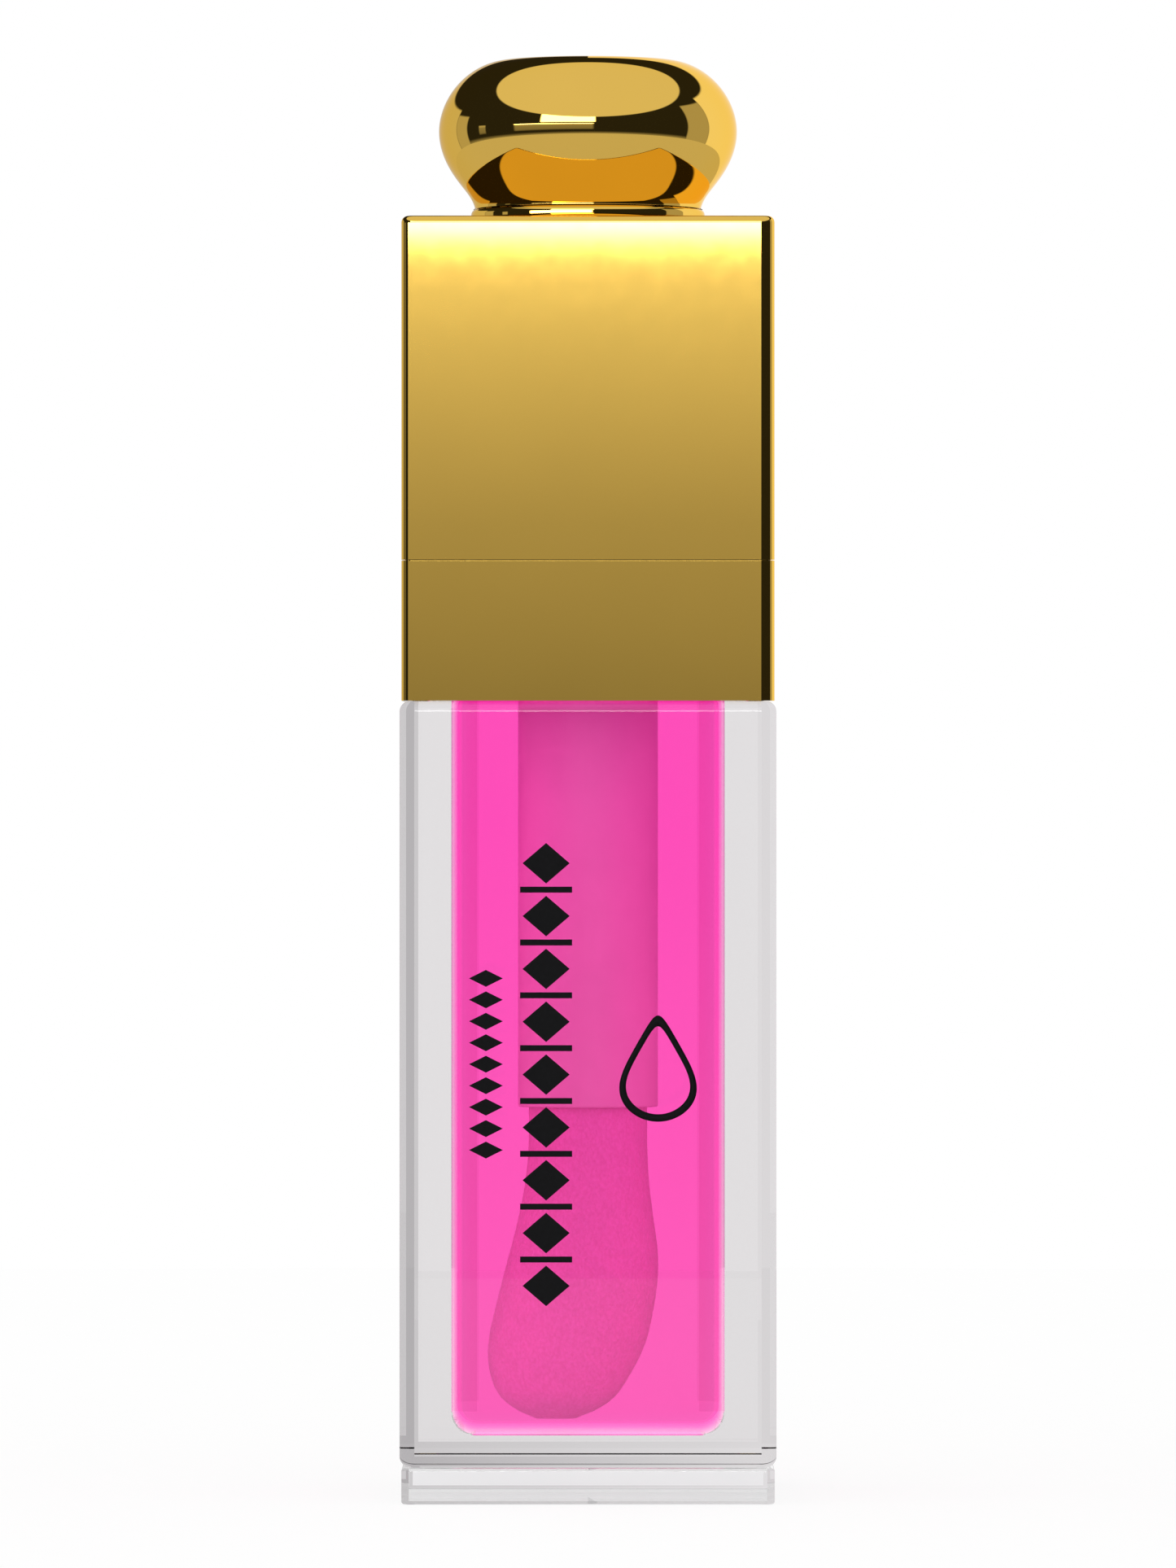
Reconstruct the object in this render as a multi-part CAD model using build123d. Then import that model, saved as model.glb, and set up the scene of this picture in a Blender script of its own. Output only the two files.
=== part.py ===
from build123d import *

import os

# Lip gloss tube: a square clear bottle of gloss with a gold collar, a gold screw cap and a wand.
# Everything is in millimetres, +Z up. The origin is the centre of the base block's underside.

# Base block and bottle
bottle_width = 20.0
bottle_height = 40.7
bottle_wall = 2.7
bottle_floor = 1.6
bottle_corner_radius = 0.8
bottle_top_radius = 0.55
bottle_bottom_radius = 0.25
cavity_corner_radius = 1.4
cavity_floor_radius = 1.3
base_height = 1.9
base_inset = 0.1
base_corner_radius = 0.4
base_bottom_chamfer = 0.15
base_top_radius = 0.1

# Collar
collar_height = 7.45
collar_wall = 1.3
collar_lip = 0.8
collar_inset = 0.1
gold_corner_radius = 0.5
collar_fit = 0.1

# Neck insert
flange_height = 1.8
plug_depth = 2.0
plug_fit = 0.1
neck_wall = 1.0
lip_gap = 0.25

# Thread
thread_lead = 2.5
thread_depth = 0.65
thread_root = 1.2
thread_crest = 0.6
thread_sink = 0.25
thread_crest_gap = 0.2
thread_play = 0.12
neck_thread_turns = 1.4
cap_thread_turns = 1.2
neck_thread_rise = 2.1

# Cap
cap_height = 18.25
cap_wall = 1.3
cap_plate = 1.4
cap_top_radius = 0.35
parting_gap = 0.05
inner_cap_recess = 0.3
inner_cap_wall = 1.1
inner_cap_plate = 1.8
inner_cap_flange = 1.2
inner_cap_tube_wall = 0.75
shell_fit = 0.05

# Weight, sealing ring and wiper
weight_height = 2.5
weight_hold = 0.3
weight_side_gap = 0.6
weight_top_gap = 0.2
weight_bottom_gap = 0.1
ring_height = 0.8
ring_side_gap = 0.35
ring_top_gap = 0.1
ring_stem_gap = 0.15
wiper_flange = 0.7
wiper_flange_inset = 0.1
wiper_wall = 0.7
wiper_tube = 5.5
wiper_cone = 1.6
wiper_fit = 0.05
wiper_stem_gap = 0.05

# Knob and its post
knob_radius = 8.03
knob_height = 8.8
knob_foot_radius = 6.3
knob_foot_height = 0.75
knob_groove_depth = 0.2
knob_groove_height = 0.1
post_diameter = 6.0
post_height = 6.1
post_foot_diameter = 9.0
post_foot_height = 0.75

# Wand
stem_space = 1.85
stem_wall = 1.75
stem_floor = 3.0
stem_pin_length = 3.5
socket_step = 0.95
tip_length = 16.8
tip_floor_gap = 0.6
tip_neck_gap = 0.25
tip_wall = 1.0
nap_thickness = 0.35

# Gloss
fill_gap = 0.45
wand_room = 0.1

# Widths that follow from the ones above
base_width = bottle_width - 2 * base_inset
gold_width = bottle_width - 2 * collar_inset
cavity_width = bottle_width - 2 * bottle_wall
collar_inside = gold_width - 2 * collar_wall
spigot_width = collar_inside - 2 * collar_fit
cap_inside = gold_width - 2 * cap_wall
inner_cap_width = cap_inside - 2 * shell_fit
inner_cap_radius = inner_cap_width / 2 - inner_cap_wall
thread_radius = inner_cap_radius - thread_crest_gap
neck_radius = thread_radius - thread_depth
neck_bore_radius = neck_radius - neck_wall
wiper_radius = neck_bore_radius - wiper_fit
stem_radius = neck_bore_radius - stem_space
stem_bore_radius = stem_radius - stem_wall
socket_radius = stem_radius - socket_step
tip_reach = neck_bore_radius - tip_neck_gap

# Heights that follow from the ones above
cavity_bottom = base_height + bottle_floor
shoulder = base_height + bottle_height
collar_top = shoulder + collar_height
flange_top = collar_top - collar_lip
spigot_top = flange_top - flange_height
plug_bottom = spigot_top - plug_depth
gloss_top = plug_bottom - fill_gap
cap_bottom = collar_top + parting_gap
cap_top = cap_bottom + cap_height
plate_bottom = cap_top - cap_plate
post_foot_bottom = plate_bottom - post_foot_height
weight_top = post_foot_bottom - weight_top_gap
inner_cap_top = weight_top - weight_height - weight_bottom_gap
inner_cap_ceiling = inner_cap_top - inner_cap_plate
ring_bottom = inner_cap_ceiling - ring_top_gap - ring_height
neck_top = ring_bottom - wiper_flange
inner_cap_bottom = cap_bottom + inner_cap_recess
tip_bottom = cavity_bottom + tip_floor_gap
tip_top = tip_bottom + tip_length

# The cap's thread lies under the neck's, with the play between their flanks.
neck_thread_bottom = collar_top + neck_thread_rise
thread_offset = (thread_root + thread_crest) / 2 + thread_play
cap_thread_bottom = neck_thread_bottom - thread_offset

# The tip's sections: height as a share of its length, then left edge, right edge and half thickness
# as shares of its reach. Its top is round, with a hole for the stem's pin.
tip_neck = 0.59
tip_sections = [
    (1.00, -tip_neck, tip_neck, tip_neck),
    (0.90, -tip_neck, tip_neck, tip_neck),
    (0.80, -0.61, 0.60, 0.59),
    (0.65, -0.69, 0.65, 0.59),
    (0.50, -0.81, 0.70, 0.58),
    (0.35, -0.93, 0.65, 0.56),
    (0.22, -1.00, 0.54, 0.52),
    (0.12, -0.95, 0.37, 0.44),
    (0.05, -0.79, 0.17, 0.31),
    (0.00, -0.52, -0.13, 0.10),
]
tip_widest = 0.22
pin_radius = tip_neck * tip_reach - nap_thickness - tip_wall

# The knob's side above its groove: radius and height as shares of the knob's own.
knob_side = [(0.86, 0.25), (0.965, 0.41), (1.0, 0.57), (0.93, 0.785), (0.78, 0.93), (0.56, 1.0)]


def square_bar(width, bottom, top, corner_radius):
    """An upright square bar with rounded corners."""
    outline = Plane.XY.offset(bottom) * RectangleRounded(width, width, corner_radius)
    return extrude(outline, top - bottom)


def round_bar(radius, bottom, top):
    """An upright cylinder on the axis."""
    return extrude(Plane.XY.offset(bottom) * Circle(radius), top - bottom)


def turned(points):
    """A solid of revolution about Z from straight-sided points of radius and height."""
    outline = make_face(Plane.XZ * Polyline(*points, close=True))
    return revolve(outline, Axis.Z)


def edges_at(solid, end):
    """The edges of a solid's lowest (0) or highest (-1) face."""
    return solid.edges().group_by(Axis.Z)[end]


def thread(radius, outward, bottom, turns):
    """A blunt-ended helical ridge that stands on a wall of the given radius."""
    path = Helix(thread_lead, thread_lead * turns, radius, center=(0, 0, bottom))
    foot = radius - outward * thread_sink
    crest = radius + outward * thread_depth
    # Each flank runs straight through the wall, so that no edge of the ridge lies on the wall's face.
    half_crest = thread_crest / 2
    half_foot = half_crest + (thread_root - thread_crest) / 2 * (1 + thread_sink / thread_depth)
    corners = [
        (foot, bottom - half_foot),
        (crest, bottom - half_crest),
        (crest, bottom + half_crest),
        (foot, bottom + half_foot),
    ]
    section = make_face(Plane.XZ * Polyline(*corners, close=True))
    return sweep(section, path=path, is_frenet=True)


def tip_shape(growth):
    """The slanted tip, grown or shrunk all round by the given thickness."""
    sections = []
    for height, left, right, depth in tip_sections:
        downward = max(0.0, 1 - height / tip_widest)
        z = tip_bottom + height * tip_length - growth * downward
        half_width = (right - left) / 2 * tip_reach + growth
        half_depth = depth * tip_reach + growth
        centre = (left + right) / 2 * tip_reach
        sections.append(Pos(centre, 0, z) * Ellipse(half_width, half_depth))
    return loft(sections)


def make_base_block():
    block = square_bar(base_width, 0, base_height, base_corner_radius)
    block = chamfer(edges_at(block, 0), base_bottom_chamfer)
    return fillet(edges_at(block, -1), base_top_radius)


def make_bottle():
    body = square_bar(bottle_width, base_height, shoulder, bottle_corner_radius)
    body = fillet(edges_at(body, 0), bottle_bottom_radius)
    body = fillet(edges_at(body, -1), bottle_top_radius)
    spigot = square_bar(spigot_width, cavity_bottom, spigot_top, bottle_corner_radius)
    return body + spigot - make_cavity(spigot_top)


def make_cavity(top):
    cavity = square_bar(cavity_width, cavity_bottom, top, cavity_corner_radius)
    return fillet(edges_at(cavity, 0), cavity_floor_radius)


def make_gloss():
    stem_room = round_bar(stem_radius + wand_room, tip_top - wand_room, gloss_top)
    return make_cavity(gloss_top) - tip_shape(wand_room) - stem_room


def make_collar():
    band = square_bar(gold_width, shoulder, collar_top, gold_corner_radius)
    inside = square_bar(collar_inside, shoulder, flange_top, bottle_corner_radius + collar_fit)
    mouth = round_bar(thread_radius + lip_gap, flange_top, collar_top)
    return band - inside - mouth


def make_neck_insert():
    plug_radius = cavity_corner_radius - plug_fit
    plug = square_bar(cavity_width - 2 * plug_fit, plug_bottom, spigot_top, plug_radius)
    flange = square_bar(spigot_width, spigot_top, flange_top, bottle_corner_radius)
    neck = round_bar(neck_radius, flange_top, neck_top)
    ridge = thread(neck_radius, 1, neck_thread_bottom, neck_thread_turns)
    bore = round_bar(neck_bore_radius, plug_bottom, neck_top)
    return plug + flange + neck + ridge - bore


def make_wiper():
    flange_radius = neck_radius - wiper_flange_inset
    mouth_radius = stem_radius + wiper_stem_gap
    tube_bottom = neck_top - wiper_tube
    cone_bottom = tube_bottom - wiper_cone
    return turned(
        [
            (flange_radius, ring_bottom),
            (flange_radius, neck_top),
            (wiper_radius, neck_top),
            (wiper_radius, tube_bottom),
            (mouth_radius + wiper_wall, cone_bottom),
            (mouth_radius, cone_bottom),
            (wiper_radius - wiper_wall, tube_bottom),
            (wiper_radius - wiper_wall, ring_bottom),
        ]
    )


def make_sealing_ring():
    ring = round_bar(inner_cap_radius - ring_side_gap, ring_bottom, ring_bottom + ring_height)
    hole = round_bar(stem_radius + ring_stem_gap, ring_bottom, ring_bottom + ring_height)
    return ring - hole


def make_cap_weight():
    bottom = weight_top - weight_height
    slug = round_bar(cap_inside / 2 - weight_side_gap, bottom, weight_top)
    return slug - round_bar(socket_radius - weight_hold, bottom, weight_top)


def make_inner_cap():
    foot_top = inner_cap_bottom + inner_cap_flange
    tube_radius = inner_cap_radius + inner_cap_tube_wall
    foot = square_bar(inner_cap_width, inner_cap_bottom, foot_top, gold_corner_radius)
    head = square_bar(inner_cap_width, inner_cap_ceiling, inner_cap_top, gold_corner_radius)
    tube = round_bar(tube_radius, inner_cap_bottom, inner_cap_top)
    bore = round_bar(inner_cap_radius, inner_cap_bottom, inner_cap_ceiling)
    socket = round_bar(socket_radius, inner_cap_ceiling, inner_cap_top)
    ridge = thread(inner_cap_radius, -1, cap_thread_bottom, cap_thread_turns)
    return foot + head + tube - bore - socket + ridge


def make_outer_cap():
    shell = square_bar(gold_width, cap_bottom, cap_top, gold_corner_radius)
    shell = fillet(edges_at(shell, -1), cap_top_radius)
    inside = square_bar(cap_inside, cap_bottom, plate_bottom, gold_corner_radius)
    return shell - inside - round_bar(post_diameter / 2, plate_bottom, cap_top)


def make_knob():
    groove_top = knob_foot_height + knob_groove_height
    groove_radius = knob_foot_radius - knob_groove_depth
    side = [(r * knob_radius, cap_top + h * knob_height) for r, h in knob_side]
    curve_start = (groove_radius, cap_top + groove_top)
    curve = Spline(curve_start, *side, tangents=[(0.25, 1), (-1, 0.02)])
    rest = Polyline(
        side[-1],
        (0, cap_top + knob_height),
        (0, cap_top),
        (knob_foot_radius, cap_top),
        (knob_foot_radius, cap_top + knob_foot_height),
        (groove_radius, cap_top + knob_foot_height),
        curve_start,
    )
    outline = make_face(Plane.XZ * Curve([curve, rest]))
    return revolve(outline, Axis.Z) - round_bar(post_diameter / 2, cap_top, cap_top + post_height)


def make_knob_post():
    foot = round_bar(post_foot_diameter / 2, post_foot_bottom, plate_bottom)
    return foot + round_bar(post_diameter / 2, plate_bottom, cap_top + post_height)


def make_stem():
    rod = round_bar(stem_radius, tip_top, inner_cap_ceiling)
    spigot = round_bar(socket_radius, inner_cap_ceiling, inner_cap_top)
    pin = round_bar(pin_radius, tip_top - stem_pin_length, tip_top)
    bore = round_bar(stem_bore_radius, tip_top + stem_floor, inner_cap_top)
    return rod + spigot + pin - bore


def make_applicator_tip():
    pin_hole = round_bar(pin_radius, tip_top - stem_pin_length, tip_top)
    return tip_shape(-nap_thickness) - pin_hole


def make_tip_flock():
    return tip_shape(0) - tip_shape(-nap_thickness)


pieces = {
    "base_block": make_base_block(),
    "bottle": make_bottle(),
    "neck_insert": make_neck_insert(),
    "wiper": make_wiper(),
    "collar": make_collar(),
    "gloss": make_gloss(),
    "sealing_ring": make_sealing_ring(),
    "cap_weight": make_cap_weight(),
    "inner_cap": make_inner_cap(),
    "outer_cap": make_outer_cap(),
    "knob": make_knob(),
    "knob_post": make_knob_post(),
    "stem": make_stem(),
    "applicator_tip": make_applicator_tip(),
    "tip_flock": make_tip_flock(),
}

os.makedirs("parts", exist_ok=True)
for node, shape in pieces.items():
    export_step(shape, f"parts/{node}.step")
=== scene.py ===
import math

import bpy
import numpy as np
from bpy.props import FloatProperty, FloatVectorProperty, PointerProperty
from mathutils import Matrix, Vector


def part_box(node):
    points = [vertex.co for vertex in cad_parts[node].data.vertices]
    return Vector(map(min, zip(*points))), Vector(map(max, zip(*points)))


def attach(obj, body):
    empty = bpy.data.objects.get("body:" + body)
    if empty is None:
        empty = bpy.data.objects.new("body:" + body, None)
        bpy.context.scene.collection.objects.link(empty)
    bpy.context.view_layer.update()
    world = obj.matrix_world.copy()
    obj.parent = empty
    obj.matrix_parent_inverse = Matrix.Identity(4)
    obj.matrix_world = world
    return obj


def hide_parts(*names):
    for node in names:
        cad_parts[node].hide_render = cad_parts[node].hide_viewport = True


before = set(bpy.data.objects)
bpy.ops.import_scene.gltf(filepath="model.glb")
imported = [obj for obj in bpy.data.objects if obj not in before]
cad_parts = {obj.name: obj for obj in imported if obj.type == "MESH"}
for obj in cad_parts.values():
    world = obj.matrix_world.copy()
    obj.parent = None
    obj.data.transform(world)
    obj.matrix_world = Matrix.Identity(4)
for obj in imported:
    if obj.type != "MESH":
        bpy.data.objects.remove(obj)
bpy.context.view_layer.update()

bl_info = {
    "name": "Lip gloss tube",
    "version": (1, 0, 0),
    "blender": (4, 5, 0),
    "location": "3D View > Sidebar > Gloss tube",
    "description": "Square lip gloss tube with a gold screw cap, its wand and a plain studio",
    "category": "Add Mesh",
}

MM = 0.001
HAIR = 0.02 * MM
SUPPORT = 0.04 * MM
SOFT_EDGE = 0.05 * MM

# How strongly each clear material bends light.
PLASTIC_INDEX = 1.5
WETTED_INDEX = 1.05
EDGE_INDEX = 1.06
GEL_INDEX = 1.002

# Points around a rounded corner of the outline, and along a rounded edge of the profile.
FINE_CORNER, FINE_EDGE = 12, 8
PLAIN_CORNER, PLAIN_EDGE = 9, 6


def low(node):
    """The lowest corner of a frame node's box."""
    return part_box(node)[0]


def high(node):
    """The highest corner of a frame node's box."""
    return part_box(node)[1]


def post_radius():
    """Radius of the knob post's shaft, which is two thirds of its head."""
    return high("knob_post").x * 2 / 3


# ---------------------------------------------------------------- sizes and colours


def length(name, description, default):
    """A length property in metres."""
    return FloatProperty(name=name, description=description, default=default, min=0.0, unit="LENGTH")


def amount(name, description, default):
    """A plain number property that isn't below zero."""
    return FloatProperty(name=name, description=description, default=default, min=0.0)


def colour(name, description, default):
    """A colour property in linear RGB."""
    return FloatVectorProperty(
        name=name, description=description, default=default, size=3, min=0.0, max=1.0, subtype="COLOR"
    )


class TubeSizes(bpy.types.PropertyGroup):
    """Roundings and walls of the tube's shown pieces."""

    bottle_corner: length("Bottle corner", "Radius of the bottle's upright edges", 0.8 * MM)
    bottle_shoulder: length("Bottle shoulder", "Radius round the top of the bottle", 0.55 * MM)
    bottle_heel: length("Bottle heel", "Radius round the bottom of the bottle", 0.6 * MM)
    cavity_corner: length("Cavity corner", "Radius of the cavity's upright edges", 1.4 * MM)
    cavity_heel: length("Cavity heel", "Radius round the cavity's floor", 1.3 * MM)
    spigot_half: length("Spigot half width", "Half the width of the spigot inside the collar", 8.5 * MM)
    base_corner: length("Base corner", "Radius of the base block's upright edges", 0.4 * MM)
    base_edge: length("Base edge", "Radius round the base block's faces", 0.15 * MM)
    gold_corner: length("Gold corner", "Radius of the collar's and the cap's upright edges", 0.7 * MM)
    gold_wall: length("Gold wall", "Wall of the collar and of the cap", 1.3 * MM)
    cap_top_edge: length("Cap top edge", "Radius round the top of the cap", 0.35 * MM)
    cap_plate: length("Cap plate", "Thickness of the cap's top", 1.4 * MM)
    collar_lip: length("Collar lip", "Thickness of the collar's lip", 0.8 * MM)
    collar_mouth: length("Collar mouth", "Radius of the opening in the collar's lip", 7.5 * MM)
    knob_foot: length("Knob foot", "Radius of the knob's foot ring", 6.3 * MM)
    knob_foot_height: length("Knob foot height", "Height of the knob's foot ring", 0.8 * MM)
    knob_groove: length("Knob groove", "Depth of the groove over the foot ring", 0.2 * MM)
    knob_foot_edge: length("Knob foot edge", "Radius of the foot ring's edges", 0.3 * MM)
    knob_groove_height: length("Knob groove height", "Height of the groove over the foot ring", 0.1 * MM)
    stem_edge: length("Stem edge", "Radius of the stem's edges", 0.12 * MM)
    stem_pin: length("Stem pin", "Radius of the pin that holds the tip", 1.8 * MM)
    stem_bore: length("Stem bore", "Radius of the hollow in the stem", 2.0 * MM)
    stem_floor: length("Stem floor", "Plastic under the hollow in the stem", 3.0 * MM)
    stem_socket: length("Stem socket", "Radius of the stem's narrow upper end", 2.8 * MM)
    stem_socket_depth: length("Stem socket depth", "Height of the stem's narrow upper end", 1.8 * MM)
    nap_depth: length("Nap depth", "How far the flock stands up and down", 0.05 * MM)
    ink_height: length("Ink height", "How far the print stands off the bottle", 0.025 * MM)


class TubeColours(bpy.types.PropertyGroup):
    """Colours of the tube's finishes."""

    gold: colour("Gold", "Colour of the metallised collar, cap and knob", (0.95, 0.61, 0.12))
    clear: colour("Clear plastic", "Tint of the bottle", (0.78, 0.76, 0.77))
    # Painted shade: tints for the clear pieces' rounded edges, darker than the plastic and darkest on the
    # left, where less light falls.
    painted_shade_left: colour("Left edges", "Tint along the clear pieces' edges on the left", (0.46, 0.445, 0.455))
    painted_shade_right: colour("Right edges", "Tint along the clear pieces' edges on the right", (0.70, 0.68, 0.69))
    # Painted shade: a darker, pinker tint for the cavity's upright corners, where the gloss's edges look
    # darker.
    cavity_corner: colour("Cavity corners", "Tint along the cavity's upright corners", (0.86, 0.72, 0.80))
    base: colour("Base plastic", "Tint of the base block", (0.90, 0.90, 0.91))
    gloss: colour("Gloss", "Colour of the gloss through one centimetre", (0.97, 0.20, 0.62))
    # Painted light: light that the gel gives off itself, though it is no lamp.
    painted_gloss_glow: colour("Gloss glow", "Light that the dye gives off", (1.0, 0.0, 0.58))
    stem: colour("Stem", "Colour of the wand's stem", (0.92, 0.44, 0.66))
    flock: colour("Flock", "Colour of the flocked tip", (1.0, 0.30, 0.66))
    natural: colour("Natural plastic", "Colour of the neck and the inner cap", (0.86, 0.85, 0.82))
    seal: colour("Soft seal", "Colour of the wiper and the sealing ring", (0.90, 0.90, 0.90))
    steel: colour("Steel", "Colour of the cap's weight", (0.56, 0.57, 0.58))
    ink: colour("Ink", "Colour of the print", (0.003, 0.003, 0.0035))


class TubeStage(bpy.types.PropertyGroup):
    """Camera and floor."""

    camera_distance: length("Camera distance", "From the tube's axis to the camera", 0.6)
    camera_height: length("Camera height", "Height of the camera over the floor", 38.2 * MM)
    view_height: length("View height", "Height of the picture at the tube's front", 83.1 * MM)
    floor_radius: length("Floor radius", "Radius of the round floor", 0.28)
    wall_light: amount("Surround", "Brightness of the surround", 1.0)
    inner_light: amount("Light inside", "Brightness that pieces inside the bottle get", 1.2)


# ---------------------------------------------------------------- shapes


def filleted(corners, steps=6, closed=False):
    """A profile with every corner rounded.

    Each row of corners holds half width, height, the outline's corner radius and the edge radius f.
    With theta the angle between the two lines at a corner, the path leaves the first line f / tan(theta / 2)
    before the corner, follows a circle of radius f and joins the second line as far after it. One more point
    on each line, just off the circle, keeps flat faces flat. The outline's corner radius grows and shrinks
    with the half width. An open path keeps its two end points. Returns rows of half width, height and
    corner radius.
    """
    rows = np.array(corners, float)
    point = rows[:, :2]
    before = np.roll(point, 1, axis=0)
    after = np.roll(point, -1, axis=0)
    if not closed:
        rows, point, before, after = (a[1:-1] for a in (rows, point, before, after))
    radius = rows[:, 3:4]
    a = before - point
    b = after - point
    a /= np.linalg.norm(a, axis=1, keepdims=True)
    b /= np.linalg.norm(b, axis=1, keepdims=True)
    theta = np.arccos(np.clip((a * b).sum(1, keepdims=True), -1, 1))
    reach = radius / np.tan(theta / 2)
    support = np.minimum(SUPPORT, 4 * radius)
    middle = a + b
    middle /= np.linalg.norm(middle, axis=1, keepdims=True)
    centre = point + middle * radius / np.sin(theta / 2)
    start = (point + a * reach - centre) / radius
    end = (point + b * reach - centre) / radius
    turn = (math.pi - theta)[:, None, :]
    s = np.linspace(0, 1, steps)[None, :, None]
    mix = (np.sin((1 - s) * turn) * start[:, None] + np.sin(s * turn) * end[:, None]) / np.sin(turn)
    arc = centre[:, None] + radius[:, None] * mix
    first = (point + a * (reach + support))[:, None]
    last = (point + b * (reach + support))[:, None]
    path = np.concatenate([first, arc, last], axis=1)
    corner = rows[:, 2][:, None] + path[:, :, 0] - rows[:, 0][:, None]
    path = np.concatenate([path, corner[:, :, None]], axis=2).reshape(-1, 3)
    if closed:
        return path
    ends = np.array(corners, float)[:, :3]
    return np.concatenate([ends[:1], path, ends[-1:]])


def outlines(path, steps):
    """Rounded squares, one for each row of half width h, height and corner radius r.

    A quarter of the outline is a point on the side, a quarter circle of radius r about (h - r, h - r) and a
    point on the next side; the others are the same quarter turned by 90, 180 and 270 degrees. With r near h
    the outline is a circle.
    """
    half = path[:, 0:1]
    radius = np.clip(path[:, 2:3], HAIR, half - HAIR)
    centre = half - radius
    near = np.minimum(SUPPORT, 0.4 * centre)
    angle = np.linspace(0, math.pi / 2, steps)[None, :]
    x = np.concatenate([half, centre + radius * np.cos(angle), centre - near], axis=1)
    y = np.concatenate([centre - near, centre + radius * np.sin(angle), half], axis=1)
    quarters = [(x, y), (-y, x), (-x, -y), (y, -x)]
    ring = np.concatenate([np.stack(q, axis=-1) for q in quarters], axis=1)
    height = np.broadcast_to(path[:, 1][:, None, None], ring.shape[:2] + (1,))
    return np.concatenate([ring, height], axis=2)


def circles(path, count):
    """Circles about the axis, one for each row of radius and height: (r cos t, r sin t, z)."""
    t = np.linspace(0, 2 * math.pi, count, endpoint=False)[None, :]
    radius = path[:, 0:1]
    height = np.broadcast_to(path[:, 1:2], (len(path), count))
    return np.stack([radius * np.cos(t), radius * np.sin(t), height], axis=-1)


def spline(knots, values, at, start=None, end=None):
    """A cubic spline through values at knots, read at other places.

    The slopes m solve h1 m0 + 2 (h0 + h1) m1 + h0 m2 = 3 (h1 d0 + h0 d1) with h the knot spacings and d the
    chords' slopes. At an end the slope is given, or the curve has no bend there. Each span is then the
    Hermite cubic of its two values and slopes.
    """
    knots = np.asarray(knots, float)
    values = np.asarray(values, float)
    h = np.diff(knots)[:, None]
    d = np.diff(values, axis=0) / h
    n = len(knots)
    matrix = np.zeros((n, n))
    right = np.zeros_like(values)
    inner = np.arange(1, n - 1)
    matrix[inner, inner - 1] = h[1:, 0]
    matrix[inner, inner] = 2 * (h[:-1, 0] + h[1:, 0])
    matrix[inner, inner + 1] = h[:-1, 0]
    right[1:-1] = 3 * (h[1:] * d[:-1] + h[:-1] * d[1:])
    matrix[0, :2] = (2, 1) if start is None else (1, 0)
    right[0] = 3 * d[0] if start is None else start
    matrix[-1, -2:] = (1, 2) if end is None else (0, 1)
    right[-1] = 3 * d[-1] if end is None else end
    m = np.linalg.solve(matrix, right)
    at = np.asarray(at, float)
    span = np.clip(np.searchsorted(knots, at) - 1, 0, n - 2)
    w = h[span]
    t = ((at - knots[span])[:, None]) / w
    a = (2 * t**3 - 3 * t**2 + 1) * values[span] + (t**3 - 2 * t**2 + t) * w * m[span]
    return a + (3 * t**2 - 2 * t**3) * values[span + 1] + (t**3 - t**2) * w * m[span + 1]


def add_mesh(name, points, faces):
    """A smooth mesh object at the origin, from arrays of points and of faces."""
    mesh = bpy.data.meshes.new(name)
    mesh.from_pydata(points.tolist(), [], faces)
    mesh.update()
    mesh.polygons.foreach_set("use_smooth", np.ones(len(mesh.polygons), bool))
    obj = bpy.data.objects.new(name, mesh)
    bpy.context.scene.collection.objects.link(obj)
    return obj


def skin(name, rings, start=None, end=None):
    """One closed surface over rings[i, j], which run round the axis with j and along the profile with i.

    Each face joins points (i, j), (i, j + 1), (i + 1, j + 1) and (i + 1, j). With start and end given, fans
    close the first and the last ring to those two points; without them the last ring joins the first.
    """
    count, around = rings.shape[:2]
    index = np.arange(count * around).reshape(count, around)
    below = index if start is None else index[:-1]
    above = np.roll(index, -1, axis=0) if start is None else index[1:]
    quads = np.stack([below, np.roll(below, -1, 1), np.roll(above, -1, 1), above], axis=-1)
    faces = quads.reshape(-1, 4).tolist()
    points = rings.reshape(-1, 3)
    if start is not None:
        points = np.concatenate([points, [start, end]])
        first = index[0]
        final = index[-1]
        pole = np.full(around, count * around)
        faces += np.stack([pole, np.roll(first, -1), first], axis=-1).tolist()
        faces += np.stack([final, np.roll(final, -1), pole + 1], axis=-1).tolist()
    return add_mesh(name, points, faces)


def square_piece(name, corners, steps=PLAIN_CORNER, edge_steps=PLAIN_EDGE, closed=False):
    """A closed piece with a rounded-square outline, from its profile's corners."""
    path = filleted(corners, edge_steps, closed)
    if closed:
        return skin(name, outlines(path, steps))
    rings = outlines(path[1:-1], steps)
    return skin(name, rings, (0, 0, path[0, 1]), (0, 0, path[-1, 1]))


def round_piece(name, path, count=128):
    """A closed piece turned about the axis, from rows of radius and height that start and end on it."""
    rings = circles(path[1:-1], count)
    return skin(name, rings, (0, 0, path[0, 1]), (0, 0, path[-1, 1]))


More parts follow.
